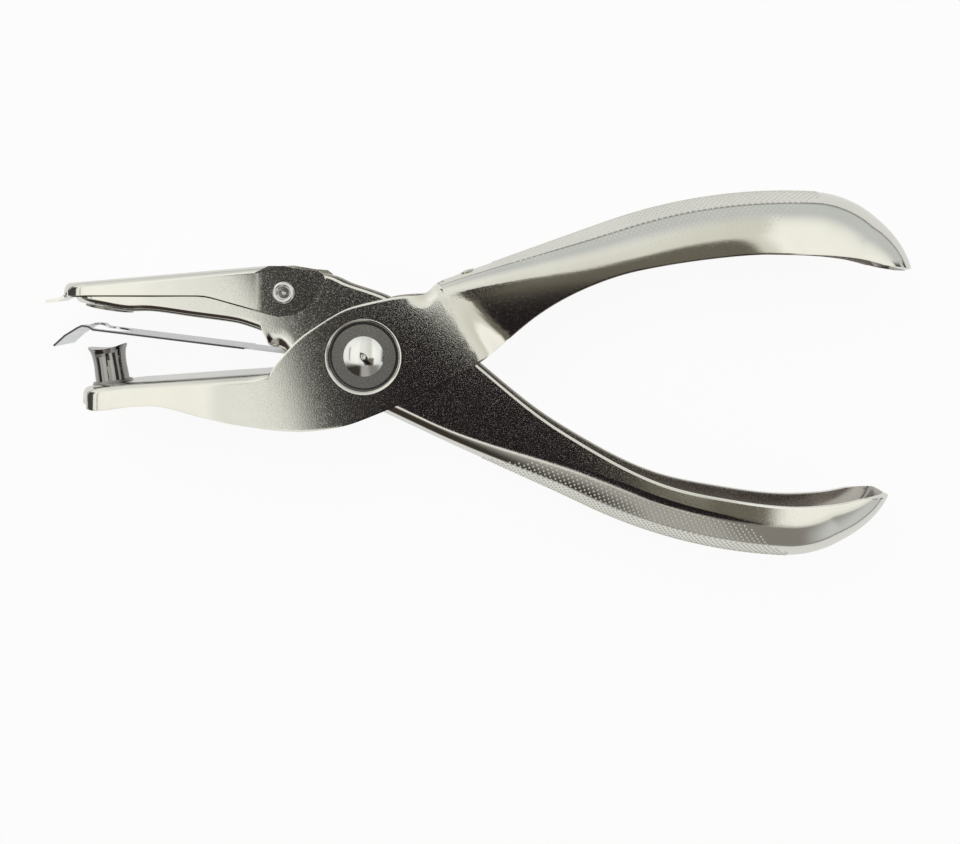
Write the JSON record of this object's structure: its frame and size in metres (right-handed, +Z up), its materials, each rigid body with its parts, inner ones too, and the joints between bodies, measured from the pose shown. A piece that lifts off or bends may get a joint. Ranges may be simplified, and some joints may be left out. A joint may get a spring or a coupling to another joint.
{
  "type": "single hole punch",
  "caption": "Plier-type single hole punch of pressed nickel-plated steel with a hinged chip cover.",
  "frame": {"origin": "on the pivot's axis, in the plane that the punch lies on (the outer lever's lower cheek)", "axes": "+X from the jaws to the handles, +Y towards the outer lever's handle, +Z up along the pivot's axis"},
  "size_m": [0.1359, 0.0586, 0.014],
  "materials": {
    "lever_nickel": "satin nickel plate with a fine grain",
    "cover_nickel": "satin nickel plate",
    "bright_steel": "polished",
    "dark_steel": "dull, oiled"
  },
  "bodies": {
    "outer_half": {"outer_lever": "lever_nickel", "pivot_rivet": "bright_steel", "pivot_sleeve": "dark_steel", "return_spring": "dark_steel", "punch": "bright_steel", "punch_collar": "dark_steel", "stripper_anchor": "bright_steel", "stripper_rivets": "dark_steel"},
    "inner_half": {"inner_lever": "lever_nickel", "die_bush": "dark_steel", "cover_rivet_near": "bright_steel", "cover_rivet_far": "bright_steel"},
    "cover": {"chip_cover": "cover_nickel"},
    "stripper": {"stripper_leaf": "bright_steel"}
  },
  "joints": [
    {"name": "lever_pivot", "type": "hinge", "parent": "outer_half", "child": "inner_half", "pos_m": [0, 0, 0.007], "axis": [0, 0, 1], "range_deg": [0, 11], "stiffness_Nm_per_rad": 0.2, "springref_deg": -34.38, "deforming": ["return_spring"]},
    {"name": "cover_hinge", "type": "hinge", "parent": "inner_half", "child": "cover", "pos_m": [-0.0129, 0.0092, 0.007], "axis": [0, 0, 1], "range_deg": [-75, 0]},
    {"name": "stripper_flex", "type": "hinge", "parent": "outer_half", "child": "stripper", "pos_m": [-0.0115, -0.00227, 0.007], "axis": [0, 0, 1], "range_deg": [0, 12.1]}
  ],
  "couplings": [
    {"joint": "stripper_flex", "follows": "lever_pivot", "ratio": 1.1}
  ]
}
